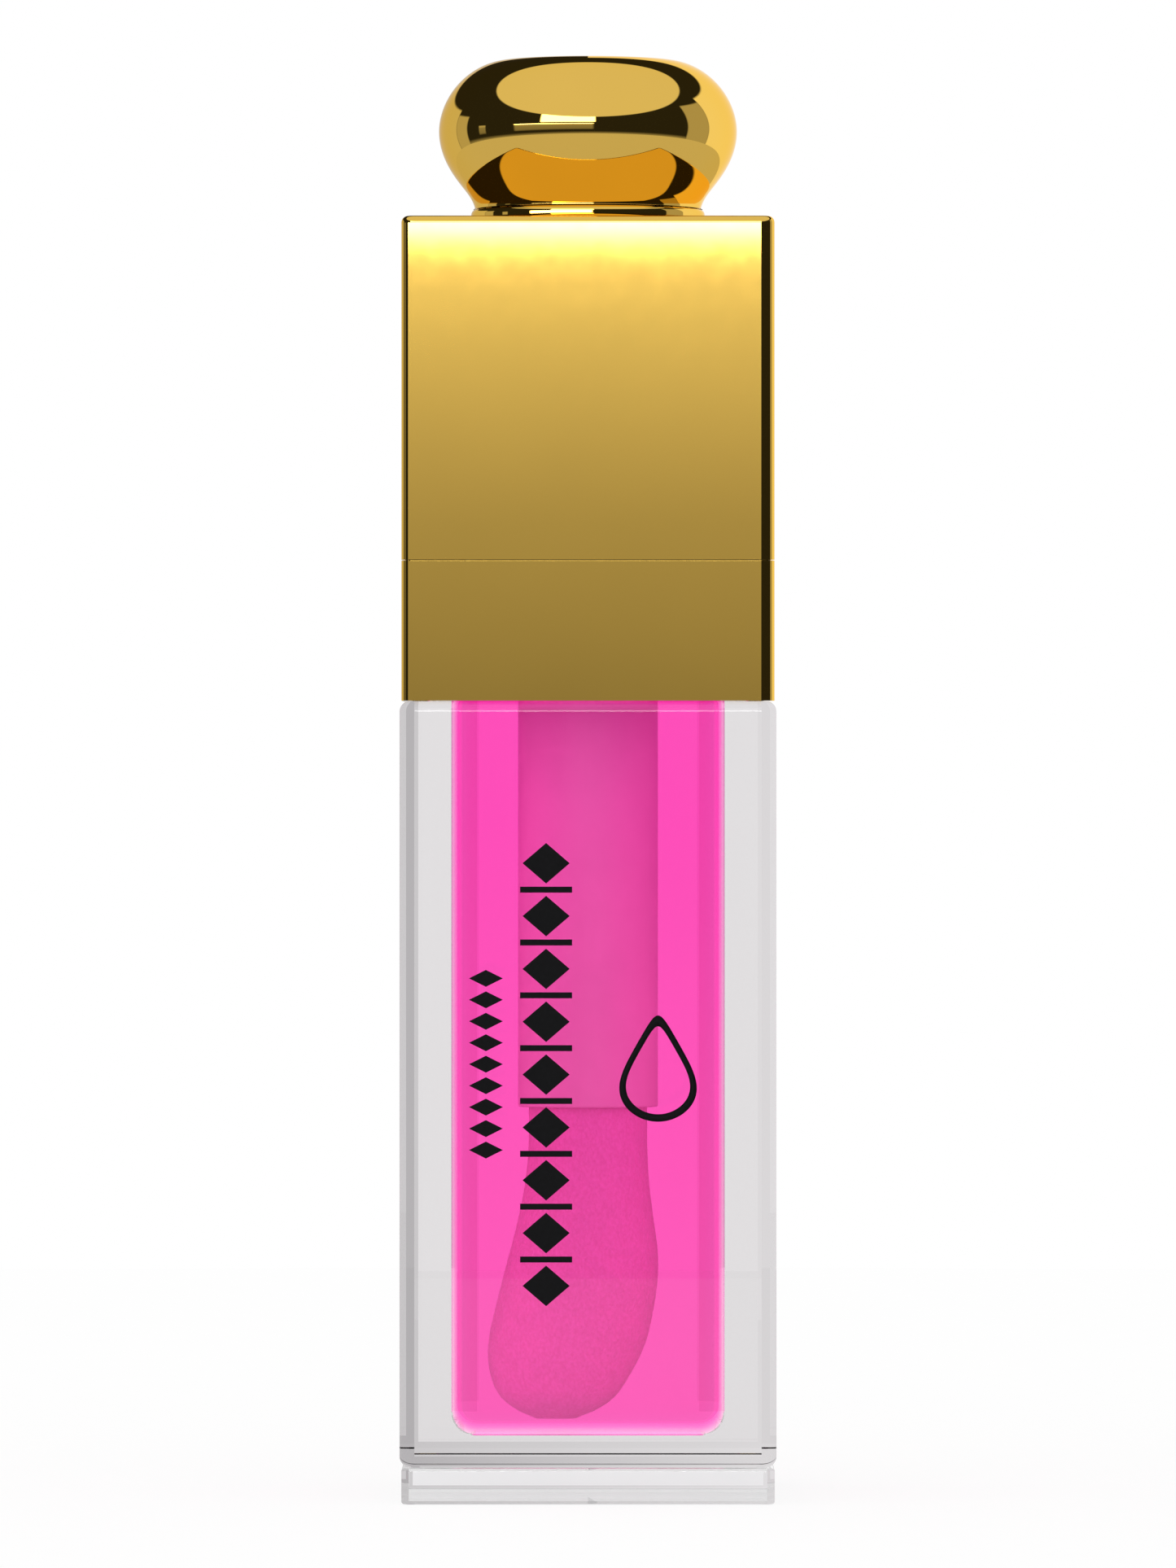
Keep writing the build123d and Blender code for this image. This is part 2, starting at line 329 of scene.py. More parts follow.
def plates(name, figures, front, depth):
    """Thin closed plates that face the front, one for each outline in figures[k, n] of x and z.

    The front face follows the outline at y = front, the back face follows it at y = front + depth, and a
    strip of faces joins them.
    """
    count, corners = figures.shape[:2]
    x, z = figures[..., 0], figures[..., 1]
    near = np.stack([x, np.full_like(x, front), z], axis=-1)
    far = np.stack([x, np.full_like(x, front + depth), z], axis=-1)
    points = np.concatenate([near, far], axis=1).reshape(-1, 3)
    base = (np.arange(count) * 2 * corners)[:, None]
    loop = base + np.arange(corners)[None, :]
    turned = np.roll(loop, -1, axis=1)
    sides = np.stack([loop, loop + corners, turned + corners, turned], axis=-1).reshape(-1, 4)
    faces = loop.tolist() + (loop + corners)[:, ::-1].tolist() + sides.tolist()
    obj = add_mesh(name, points, faces)
    obj.data.polygons.foreach_set("use_smooth", np.zeros(len(obj.data.polygons), bool))
    return obj


# ---------------------------------------------------------------- finishes


def node(tree, kind, **values):
    """A new node. Names with a leading underscore set its inputs, others its properties."""
    made = tree.nodes.new(kind)
    for key, value in values.items():
        if key.startswith("_"):
            made.inputs[key[1:].replace("_", " ")].default_value = value
        else:
            setattr(made, key, value)
    return made


def new_finish(name):
    """A material with one Principled shader, and its node tree and shader."""
    material = bpy.data.materials.new(name)
    material.use_nodes = True
    return material, material.node_tree, material.node_tree.nodes["Principled BSDF"]


def grain(tree, scale, detail=3.0, stretch=(1, 1, 1), roughness=0.5):
    """Noise on the piece's own coordinates; scale is in lumps per metre."""
    place = node(tree, "ShaderNodeTexCoord")
    turn = node(tree, "ShaderNodeMapping")
    turn.inputs["Scale"].default_value = stretch
    noise = node(tree, "ShaderNodeTexNoise", _Scale=scale, _Detail=detail, _Roughness=roughness)
    tree.links.new(place.outputs["Object"], turn.inputs["Vector"])
    tree.links.new(turn.outputs["Vector"], noise.inputs["Vector"])
    return noise.outputs["Fac"]


def along(tree, axis):
    """The piece's own coordinate along the X, Y or Z axis."""
    place = node(tree, "ShaderNodeTexCoord")
    split = node(tree, "ShaderNodeSeparateXYZ")
    tree.links.new(place.outputs["Object"], split.inputs["Vector"])
    return split.outputs[axis]


def between(tree, factor, low_value, high_value, low_at=0.3, high_at=0.7):
    """A number that goes from low_value to high_value as the factor goes from low_at to high_at."""
    fit = node(
        tree,
        "ShaderNodeMapRange",
        _From_Min=low_at,
        _From_Max=high_at,
        _To_Min=low_value,
        _To_Max=high_value,
    )
    tree.links.new(factor, fit.inputs["Value"])
    return fit.outputs["Result"]


def tinted(tree, factor, first, second, low_at=0.3, high_at=0.7):
    """A colour that goes from first to second with the factor."""
    mix = node(tree, "ShaderNodeMix", data_type="RGBA")
    mix.inputs["A"].default_value = (*first, 1)
    mix.inputs["B"].default_value = (*second, 1)
    tree.links.new(between(tree, factor, 0.0, 1.0, low_at, high_at), mix.inputs["Factor"])
    return mix.outputs["Result"]


def relief(tree, shader, factor, height):
    """Raises and lowers the surface by the factor times a height in metres."""
    bump = node(tree, "ShaderNodeBump", _Strength=1.0, _Distance=height)
    tree.links.new(factor, bump.inputs["Height"])
    tree.links.new(bump.outputs["Normal"], shader.inputs["Normal"])


def shade(value, amount):
    """A colour made darker or lighter by a factor."""
    return tuple(min(1.0, c * amount) for c in value)


def gold_finish(colours):
    """Metallised plastic: a mirror with a faint haze and the slight waviness of a moulding."""
    material, tree, shader = new_finish("Gold_Metallised")
    shader.inputs["Metallic"].default_value = 1.0
    haze = grain(tree, 900.0, 4.0)
    cloud = grain(tree, 120.0, 2.0)
    gold = tuple(colours.gold)
    tree.links.new(tinted(tree, cloud, shade(gold, 0.97), gold), shader.inputs["Base Color"])
    tree.links.new(between(tree, haze, 0.016, 0.024), shader.inputs["Roughness"])
    shader.inputs["Specular Tint"].default_value = (1.0, 0.84, 0.52, 1)
    relief(tree, shader, grain(tree, 260.0, 1.0), 2e-8)
    return material


def let_light_through(tree, shader, flow, index):
    """Makes a shader clear, with a gloss that follows the flow pattern."""
    shader.inputs["Transmission Weight"].default_value = 1.0
    shader.inputs["IOR"].default_value = index
    tree.links.new(between(tree, flow, 0.0, 0.012), shader.inputs["Roughness"])


def clear_finish(name, clear, index=PLASTIC_INDEX):
    """Clear moulded plastic with a faint flow pattern in its gloss."""
    material, tree, shader = new_finish(name)
    flow = grain(tree, 160.0, 2.0, (1, 1, 0.4))
    tree.links.new(tinted(tree, flow, shade(clear, 0.985), clear), shader.inputs["Base Color"])
    let_light_through(tree, shader, flow, index)
    return material


def painted_edge_shade_finish(colours):
    """Clear plastic along the rounded edges with painted shade: they gather less light, the left ones least,
    so their tint is darker than the plastic's and darkest on the left.
    """
    material, tree, shader = new_finish("Clear_Plastic_Painted_Edge_Shade")
    flow = grain(tree, 160.0, 2.0, (1, 1, 0.4))
    reach = 9.5 * MM
    left = tuple(colours.painted_shade_left)
    right = tuple(colours.painted_shade_right)
    across = tinted(tree, along(tree, "X"), left, right, -reach, reach)
    tree.links.new(across, shader.inputs["Base Color"])
    let_light_through(tree, shader, flow, EDGE_INDEX)
    return material


def gloss_finish(colours):
    """Dyed clear gel: it takes up green and blue on the way through, and it gives off a faint painted glow,
    paler towards the bottom, though it is no lamp.
    """
    material, tree, shader = new_finish("Gloss_Gel")
    swirl = grain(tree, 180.0, 2.0, (1, 1, 0.5))
    tree.links.new(tinted(tree, swirl, (0.985, 0.98, 0.985), (1, 1, 1)), shader.inputs["Base Color"])
    shader.inputs["Transmission Weight"].default_value = 1.0
    shader.inputs["IOR"].default_value = GEL_INDEX
    shader.inputs["Roughness"].default_value = 0.0
    shader.inputs["Specular IOR Level"].default_value = 0.0
    # Painted light: an emission that brightens the gel, paler towards the bottom.
    glow = tuple(colours.painted_gloss_glow)
    paler_painted_glow = (glow[0], glow[1] + 0.20, glow[2])
    light = tinted(tree, along(tree, "Z"), paler_painted_glow, glow, 8 * MM, 36 * MM)
    tree.links.new(light, shader.inputs["Emission Color"])
    shader.inputs["Emission Strength"].default_value = 0.165
    taken, density = gloss_absorption(colours)
    volume = node(tree, "ShaderNodeVolumeAbsorption")
    volume.inputs["Color"].default_value = (*taken, 1)
    volume.inputs["Density"].default_value = density
    tree.links.new(volume.outputs["Volume"], tree.nodes["Material Output"].inputs["Volume"])
    return material


def gloss_absorption(colours):
    """The absorption shader's colour and density.

    The colour c left after 10 mm means absorption -ln(c) / 0.01 for each channel. The shader absorbs
    density times (1 - its colour), so the density is the largest of the three and each channel's colour is
    one less its share of it.
    """
    lost = -np.log(np.clip(np.array(colours.gloss), 1e-4, 0.9999)) / 0.01
    density = float(lost.max())
    return tuple((1 - lost / density).tolist()), density


def moulded_finish(name, value, roughness, texture, height):
    """Moulded plastic: slight colour clouds, a fine erosion texture and a broken gloss."""
    material, tree, shader = new_finish(name)
    cloud = grain(tree, 220.0, 3.0)
    fine = grain(tree, texture, 4.0)
    clouded = tinted(tree, cloud, shade(value, 0.94), shade(value, 1.02))
    tree.links.new(clouded, shader.inputs["Base Color"])
    tree.links.new(between(tree, fine, roughness - 0.06, roughness + 0.08), shader.inputs["Roughness"])
    relief(tree, shader, fine, height)
    return material


def flock_finish(colours):
    """Short upright fibres with a soft sheen: a dense pattern of painted light on the fibre tips and painted
    shade in the gaps between them.
    """
    material, tree, shader = new_finish("Tip_Flock")
    fibre = grain(tree, 7000.0, 2.0, (1, 1, 0.7), 0.6)
    clump = grain(tree, 900.0, 3.0)
    flock = tuple(colours.flock)
    # Painted light on the fibre tips and painted shade in the gaps, on the same noise as the bump.
    fibre_light_and_shade = tinted(tree, fibre, shade(flock, 0.92), shade(flock, 1.10), 0.35, 0.65)
    clumps = tinted(tree, clump, (0.95, 0.95, 0.95), (1, 1, 1))
    both = node(tree, "ShaderNodeMix", data_type="RGBA", blend_type="MULTIPLY", _Factor=1.0)
    tree.links.new(fibre_light_and_shade, both.inputs["A"])
    tree.links.new(clumps, both.inputs["B"])
    tree.links.new(both.outputs["Result"], shader.inputs["Base Color"])
    shader.inputs["Roughness"].default_value = 0.9
    shader.inputs["Sheen Weight"].default_value = 0.3
    shader.inputs["Sheen Roughness"].default_value = 0.4
    relief(tree, shader, fibre, 6e-5)
    return material


def steel_finish(colours):
    """Turned steel: fine rings across the slug and a slightly uneven polish."""
    material, tree, shader = new_finish("Weight_Steel")
    rings = grain(tree, 500.0, 2.0, (0.15, 0.15, 9))
    steel = tuple(colours.steel)
    tree.links.new(tinted(tree, rings, shade(steel, 0.85), steel), shader.inputs["Base Color"])
    shader.inputs["Metallic"].default_value = 1.0
    tree.links.new(between(tree, rings, 0.25, 0.4), shader.inputs["Roughness"])
    relief(tree, shader, rings, 4e-6)
    return material


def ink_finish(colours):
    """Screen-printed ink: nearly black, with the mesh's faint unevenness in its gloss."""
    material, tree, shader = new_finish("Print_Ink")
    film = grain(tree, 4000.0, 2.0)
    ink = tuple(colours.ink)
    tree.links.new(tinted(tree, film, ink, shade(ink, 1.8)), shader.inputs["Base Color"])
    tree.links.new(between(tree, film, 0.5, 0.65), shader.inputs["Roughness"])
    shader.inputs["Specular IOR Level"].default_value = 0.08
    relief(tree, shader, film, 2e-6)
    return material


def dress(obj, material, body, slot, *nodes):
    """Gives a new piece its finish and its body, and hides the frame nodes that it stands for. The slot is
    not used.
    """
    obj.data.materials.append(material)
    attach(obj, body)
    if nodes:
        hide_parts(*nodes)
    return obj


# ---------------------------------------------------------------- operators


class TubeOperator:
    """What the tube's operators share."""

    bl_options = {"REGISTER", "UNDO"}


class GLOSSTUBE_OT_base(TubeOperator, bpy.types.Operator):
    """Add the clear base block"""

    bl_idname = "glosstube.base"
    bl_label = "Base block"

    def execute(self, context):
        sizes = context.scene.tube_sizes
        half = high("base_block").x
        bottom = low("base_block").z
        top = high("base_block").z
        corners = [
            (0, bottom, 0, 0),
            (half, bottom, sizes.base_corner, sizes.base_edge),
            (half, top, sizes.base_corner, sizes.base_edge),
            (0, top, 0, 0),
        ]
        steps = PLAIN_CORNER
        edge_steps = PLAIN_EDGE
        block = square_piece("Base_Block_Clear", corners, steps, edge_steps)
        colours = context.scene.tube_colours
        finish = clear_finish("Clear_Plastic_Base", tuple(colours.base))
        dress(block, finish, "bottle_body", "clear_plastic", "base_block")
        block.data.materials.append(painted_edge_shade_finish(colours))
        # The painted edge shade goes on the four upright edges and round the underside.
        ring_faces = 2 * (edge_steps + 2) - 1
        share = np.zeros(len(block.data.polygons), np.int32)
        upright = share[: ring_faces * 4 * (steps + 2)].reshape(ring_faces, 4, steps + 2)
        upright[:, :, 1:steps] = 1
        upright[: edge_steps + 1] = 1
        block.data.polygons.foreach_set("material_index", share)
        return {"FINISHED"}


class GLOSSTUBE_OT_bottle(TubeOperator, bpy.types.Operator):
    """Add the clear bottle with its cavity and spigot"""

    bl_idname = "glosstube.bottle"
    bl_label = "Bottle"

    def execute(self, context):
        sizes = context.scene.tube_sizes
        colours = context.scene.tube_colours
        half = high("bottle").x
        bottom = low("bottle").z + HAIR
        shoulder = low("collar").z
        spigot_top = high("bottle").z
        cavity_half = high("gloss").x
        cavity_bottom = low("gloss").z
        edge = 0.06 * MM
        corners = [
            (0, bottom, 0, 0),
            (half, bottom, sizes.bottle_corner, sizes.bottle_heel),
            (half, shoulder, sizes.bottle_corner, sizes.bottle_shoulder),
            (sizes.spigot_half, shoulder, sizes.bottle_corner, edge),
            (sizes.spigot_half, spigot_top, sizes.bottle_corner, edge),
            (cavity_half, spigot_top, sizes.cavity_corner, edge),
            (cavity_half, cavity_bottom, sizes.cavity_corner, sizes.cavity_heel),
            (0, cavity_bottom, 0, 0),
        ]
        steps = FINE_CORNER
        edge_steps = FINE_EDGE
        bottle = square_piece("Bottle_Clear", corners, steps, edge_steps)
        finish = clear_finish("Clear_Plastic", tuple(colours.clear))
        dress(bottle, finish, "bottle_body", "clear_plastic", "bottle")
        # Painted shade along the cavity's upright corners.
        cavity_corner_shade_tint = tuple(colours.cavity_corner)
        others = [
            clear_finish("Clear_Plastic_Wetted", (1.0, 1.0, 1.0), WETTED_INDEX),
            painted_edge_shade_finish(colours),
            clear_finish("Clear_Plastic_Cavity_Corner_Shade", cavity_corner_shade_tint, WETTED_INDEX),
        ]
        for finish in others:
            bottle.data.materials.append(finish)
        wetted, edges, shaded_cavity_corners = 1, 2, 3
        around = 4 * (steps + 2)
        rows = len(corners) - 2
        ring_faces = rows * (edge_steps + 2) - 1
        inner_row = 4 * (edge_steps + 2) + edge_steps
        share = np.zeros(len(bottle.data.polygons), np.int32)
        upright = share[: ring_faces * around].reshape(ring_faces, 4, steps + 2)
        # Painted shade on the bottle's upright corners and round its heel.
        upright[: 2 * edge_steps + 3, :, 1:steps] = edges
        upright[: edge_steps + 1] = edges
        upright[inner_row:] = wetted
        # Painted shade on the cavity's upright corners.
        upright[inner_row + 1, :, 1:steps] = shaded_cavity_corners
        share[ring_faces * around + around :] = wetted
        bottle.data.polygons.foreach_set("material_index", share)
        return {"FINISHED"}


class GLOSSTUBE_OT_gloss(TubeOperator, bpy.types.Operator):
    """Add the gloss that fills the cavity"""

    bl_idname = "glosstube.gloss"
    bl_label = "Gloss"

    def execute(self, context):
        sizes = context.scene.tube_sizes
        half = high("gloss").x - HAIR
        bottom = low("gloss").z + HAIR
        top = high("gloss").z
        corners = [
            (0, bottom, 0, 0),
            (half, bottom, sizes.cavity_corner - HAIR, sizes.cavity_heel - HAIR),
            (half, top, sizes.cavity_corner - HAIR, 0.1 * MM),
            (0, top, 0, 0),
        ]
        fill = square_piece("Gloss_Fill", corners, FINE_CORNER, FINE_EDGE)
        dress(fill, gloss_finish(context.scene.tube_colours), "bottle_body", "gloss_liquid", "gloss")
        return {"FINISHED"}


class GLOSSTUBE_OT_shells(TubeOperator, bpy.types.Operator):
    """Add the gold collar and the gold cap"""

    bl_idname = "glosstube.shells"
    bl_label = "Collar and cap"

    def execute(self, context):
        sizes = context.scene.tube_sizes
        gold = gold_finish(context.scene.tube_colours)
        half = high("collar").x
        inner = half - sizes.gold_wall
        corner = sizes.gold_corner
        fine = 0.002 * MM
        bottom = low("collar").z + HAIR
        top = high("collar").z
        lip = top - sizes.collar_lip
        mouth = sizes.collar_mouth
        collar = [
            (half, bottom, corner, fine),
            (half, top, corner, fine),
            (mouth, top, mouth, SOFT_EDGE),
            (mouth, lip, mouth, SOFT_EDGE),
            (inner, lip, corner, SOFT_EDGE),
            (inner, bottom, corner, fine),
        ]
        piece = square_piece("Collar_Gold", collar, closed=True)
        dress(piece, gold, "bottle_body", "gold_plastic", "collar")
        post = post_radius()
        bottom = low("outer_cap").z
        top = high("outer_cap").z
        plate = top - sizes.cap_plate
        cap = [
            (half, bottom, corner, fine),
            (half, top, corner, sizes.cap_top_edge),
            (post, top, post, SOFT_EDGE),
            (post, plate, post, SOFT_EDGE),
            (inner, plate, corner, SOFT_EDGE),
            (inner, bottom, corner, fine),
        ]
        piece = square_piece("Cap_Gold", cap, edge_steps=FINE_EDGE, closed=True)
        dress(piece, gold, "cap_and_wand", "gold_plastic", "outer_cap")
        return {"FINISHED"}


# The knob's side from its groove to its flat top, as shares of its radius and of its height.
KNOB_SIDE = [(0.86, 0.25), (0.965, 0.41), (1.0, 0.57), (0.93, 0.785), (0.78, 0.93), (0.56, 1.0)]


class GLOSSTUBE_OT_knob(TubeOperator, bpy.types.Operator):
    """Add the gold knob on top of the cap"""

    bl_idname = "glosstube.knob"
    bl_label = "Knob"

    def execute(self, context):
        sizes = context.scene.tube_sizes
        radius = high("knob").x
        bottom = low("knob").z
        height = high("knob").z - bottom
        foot = sizes.knob_foot
        foot_top = bottom + sizes.knob_foot_height
        groove = foot - sizes.knob_groove
        groove_top = foot_top + sizes.knob_groove_height
        post = post_radius()
        post_top = high("knob_post").z
        edge = SOFT_EDGE
        under = [
            (0, post_top, 0, 0),
            (post, post_top, 0, edge),
            (post, bottom, 0, edge),
            (foot, bottom, 0, sizes.knob_foot_edge),
            (foot, foot_top, 0, sizes.knob_foot_edge),
            (groove, foot_top, 0, edge / 2),
            (groove, groove_top, 0, 0),
        ]
        side = np.array(KNOB_SIDE) * (radius, height) + (0, bottom)
        knots = np.concatenate([[(groove, groove_top)], side])
        walk = np.concatenate([[0], np.cumsum(np.linalg.norm(np.diff(knots, axis=0), axis=1))])
        leave = np.array((0.25, 1.0)) / math.hypot(0.25, 1.0)
        arrive = np.array((-1.0, 0.02))
        curve = spline(walk, knots, np.linspace(0, walk[-1], 90)[1:], leave, arrive)
        top = np.linspace(curve[-1, 0], 0, 6)[1:, None]
        crown = np.concatenate([top, np.full_like(top, curve[-1, 1])], axis=1)
        path = np.concatenate([filleted(under)[:, :2], curve, crown])
        knob = round_piece("Knob_Gold", path, 160)
        dress(knob, bpy.data.materials["Gold_Metallised"], "cap_and_wand", "gold_plastic", "knob")
        return {"FINISHED"}


class GLOSSTUBE_OT_wand(TubeOperator, bpy.types.Operator):
    """Add the wand's stem and its flocked tip"""

    bl_idname = "glosstube.wand"
    bl_label = "Wand"

    def execute(self, context):
        sizes = context.scene.tube_sizes
        colours = context.scene.tube_colours
        radius = high("stem").x
        bottom = high("tip_flock").z
        pin_bottom = low("stem").z
        top = high("stem").z
        ceiling = top - sizes.stem_socket_depth
        bore_bottom = bottom + sizes.stem_floor
        edge = sizes.stem_edge
        pin = sizes.stem_pin
        bore = sizes.stem_bore
        socket = sizes.stem_socket
        profile = [
            (0, pin_bottom, 0, 0),
            (pin, pin_bottom, 0, edge),
            (pin, bottom, 0, edge / 4),
            (radius, bottom, 0, edge),
            (radius, ceiling, 0, edge / 4),
            (socket, ceiling, 0, edge / 4),
            (socket, top, 0, edge),
            (bore, top, 0, edge),
            (bore, bore_bottom, 0, edge),
            (0, bore_bottom, 0, 0),
        ]
        stem = round_piece("Wand_Stem", filleted(profile)[:, :2], 96)
        finish = moulded_finish("Stem_Plastic", tuple(colours.stem), 0.35, 500.0, 2e-6)
        dress(stem, finish, "cap_and_wand", "stem_plastic", "stem")
        tip = nap_surface("Wand_Tip", sizes.nap_depth)
        dress(tip, flock_finish(colours), "cap_and_wand", "flock", "tip_flock")
        return {"FINISHED"}


# The tip's cross-sections from its end to its neck: height as a share of the tip's, then left edge, right
# edge and half thickness as shares of its farthest reach to the left.
TIP_SECTIONS = [
    (0.00, -0.52, -0.13, 0.10),
    (0.05, -0.79, 0.17, 0.31),
    (0.12, -0.95, 0.37, 0.44),
    (0.22, -1.00, 0.54, 0.52),
    (0.35, -0.93, 0.65, 0.56),
    (0.50, -0.81, 0.70, 0.58),
    (0.65, -0.69, 0.65, 0.59),
    (0.80, -0.61, 0.60, 0.59),
    (0.90, -0.59, 0.59, 0.59),
    (1.00, -0.59, 0.59, 0.59),
]


def nap_surface(name, depth, rows=240, around=300):
    """The slanted, flocked tip.

    Ellipses with their own left edge, right edge and half thickness run up the tip. The three are cubic
    splines of the height. Every point is moved along its radius by a random share of the nap's depth, so
    that the outline is slightly furry.
    """
    lowest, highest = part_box("tip_flock")
    reach = -lowest.x
    sections = np.array(TIP_SECTIONS)
    share = np.linspace(0, 1, rows) ** 1.4
    left, right, thick = (spline(sections[:, 0], sections[:, 1:], share) * reach).T
    angle = np.linspace(0, 2 * math.pi, around, endpoint=False)[None, :]
    random = np.random.default_rng(11)
    fur = 1 + random.uniform(-0.5, 0.5, (rows, around)) * depth / reach * 1.6
    half = ((right - left) / 2)[:, None] * fur
    x = ((right + left) / 2)[:, None] + half * np.cos(angle)
    y = thick[:, None] * fur * np.sin(angle)
    z = np.broadcast_to((lowest.z + share * (highest.z - lowest.z))[:, None], x.shape)
    rings = np.stack([x, y, z], axis=-1)
    start = ((left[0] + right[0]) / 2, 0, lowest.z)
    end = ((left[-1] + right[-1]) / 2, 0, highest.z)
    return skin(name, rings, start, end)


class GLOSSTUBE_OT_ornament(TubeOperator, bpy.types.Operator):
    """Add the printed ornament on the bottle's front"""

    bl_idname = "glosstube.ornament"
    bl_label = "Printed ornament"

    def execute(self, context):
        sizes = context.scene.tube_sizes
        ink = ink_finish(context.scene.tube_colours)
        front = low("bottle").y - sizes.ink_height
        depth = sizes.ink_height - 0.005 * MM
        count = 9
        lozenge = np.array([(0, -0.5), (0.5, 0), (0, 0.5), (-0.5, 0)])
        bar = np.array([(-0.5, -0.5), (0.5, -0.5), (0.5, 0.5), (-0.5, 0.5)])
        heights = np.linspace(11.6, 34.0, count)
        gaps = (heights[:-1] + heights[1:]) / 2
        small_heights = np.linspace(18.8, 27.9, count)
        column = row_of(lozenge, (2.5, 2.15), -2.22, heights)
        bars = row_of(bar, (2.76, 0.32), -2.22, gaps)
        small = row_of(lozenge, (1.8, 0.9), -5.41, small_heights)
        figures = np.concatenate([column, bars, small]) * MM
        piece = plates("Print_Column", figures, front, depth)
        dress(piece, ink, "bottle_body", None)
        centre = (3.71 * MM, 22.6 * MM)
        radius = 2.3 * MM
        line = 0.4 * MM
        piece = drop_band("Print_Drop", centre, radius, line, front, depth)
        dress(piece, ink, "bottle_body", None)
        return {"FINISHED"}


def row_of(figure, size, x, heights):
    """Copies of a flat figure of the given width and height, centred on x, one at each height."""
    centres = np.stack([np.full(len(heights), x), heights], axis=-1)
    return figure[None] * size + centres[:, None]


def drop_band(name, centre, radius, width, front, depth, count=96):
    """A thin drop-shaped band that faces the front.

    The drop's outline is (r sin t (1 - 0.55 ((1 + cos t) / 2)^2), r cos t (1 + 0.45 ((1 + cos t) / 2)^3)): a
    circle with its top drawn to a soft point. The band lies between that outline and the same one made
    smaller by the width, and has a front and a back, joined round both outlines.
    """
    t = np.linspace(0, 2 * math.pi, count, endpoint=False)
    lift = (1 + np.cos(t)) / 2
    unit = np.stack([np.sin(t) * (1 - 0.55 * lift**2), np.cos(t) * (1 + 0.45 * lift**3)], axis=-1)
    outer = unit * radius + centre
    inner = unit * (radius - width) + centre
    loops = [(outer, front + depth), (outer, front), (inner, front), (inner, front + depth)]
    rings = np.stack([np.insert(loop, 1, y, axis=1) for loop, y in loops])
    return skin(name, rings)


class GLOSSTUBE_OT_inner_parts(TubeOperator, bpy.types.Operator):
    """Give the frame's own pieces their finishes"""

    bl_idname = "glosstube.inner_parts"
    bl_label = "Inner parts"

    def execute(self, context):
        colours = context.scene.tube_colours
        white = tuple(colours.natural)
        natural = moulded_finish("Natural_Plastic", white, 0.32, 800.0, 3e-6)
        seal = moulded_finish("Soft_Seal", tuple(colours.seal), 0.5, 1200.0, 4e-6)
        core = moulded_finish("Tip_Core", white, 0.4, 900.0, 3e-6)
        post = moulded_finish("Post_Plastic", white, 0.38, 600.0, 3e-6)
        finishes = {
            "neck_insert": natural,
            "inner_cap": natural,
            "wiper": seal,
            "sealing_ring": seal,
            "applicator_tip": core,
            "knob_post": post,
            "cap_weight": steel_finish(colours),
        }
        for name, finish in finishes.items():
            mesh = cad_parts[name].data
            mesh.materials.clear()
            mesh.materials.append(finish)
        return {"FINISHED"}


# ---------------------------------------------------------------- stage


def number(tree, operation, *values):
    """The output of a Math node whose inputs are sockets or numbers."""
    made = node(tree, "ShaderNodeMath", operation=operation)
    for place, value in enumerate(values):
        if isinstance(value, (int, float)):
            made.inputs[place].default_value = value
        else:
            tree.links.new(value, made.inputs[place])
    return made.outputs[0]


def step(tree, value, edge, soft):
    """0 below an edge and 1 above it, with a smooth change as wide as soft."""
    fit = node(
        tree,
        "ShaderNodeMapRange",
        interpolation_type="SMOOTHSTEP",
        _From_Min=edge - soft / 2,
        _From_Max=edge + soft / 2,
    )
    tree.links.new(value, fit.inputs["Value"])
    return fit.outputs["Result"]


def window(tree, value, start, end, soft):
    """1 between two edges and 0 outside them."""
    return number(tree, "SUBTRACT", step(tree, value, start, soft), step(tree, value, end, soft))


def pick(tree, switch, yes, no):
    """One of two numbers, by a switch of 0 or 1."""
    part = number(tree, "MULTIPLY", switch, number(tree, "SUBTRACT", yes, no))
    return number(tree, "ADD", no, part)


def weighted(tree, parts, added=0.0):
    """The sum of each number times its weight, and of one more number."""
    total = added
    for value, weight in parts:
        total = number(tree, "ADD", number(tree, "MULTIPLY", value, weight), total)
    return total


def ramp(tree, value, start, end, stops, top):
    """A brightness read from stops of place and brightness, held in the ramp as shares of top."""
    fit = node(tree, "ShaderNodeMapRange", _From_Min=start, _From_Max=end)
    tree.links.new(value, fit.inputs["Value"])
    curve = node(tree, "ShaderNodeValToRGB")
    tree.links.new(fit.outputs["Result"], curve.inputs["Fac"])
    elements = curve.color_ramp.elements
    while len(elements) > 1:
        elements.remove(elements[-1])
    for index, (place, bright) in enumerate(stops):
        element = elements[0] if index == 0 else elements.new((place - start) / (end - start))
        element.position = (place - start) / (end - start)
        element.color = (bright / top, bright / top, bright / top, 1)
    return number(tree, "MULTIPLY", curve.outputs["Color"], top)


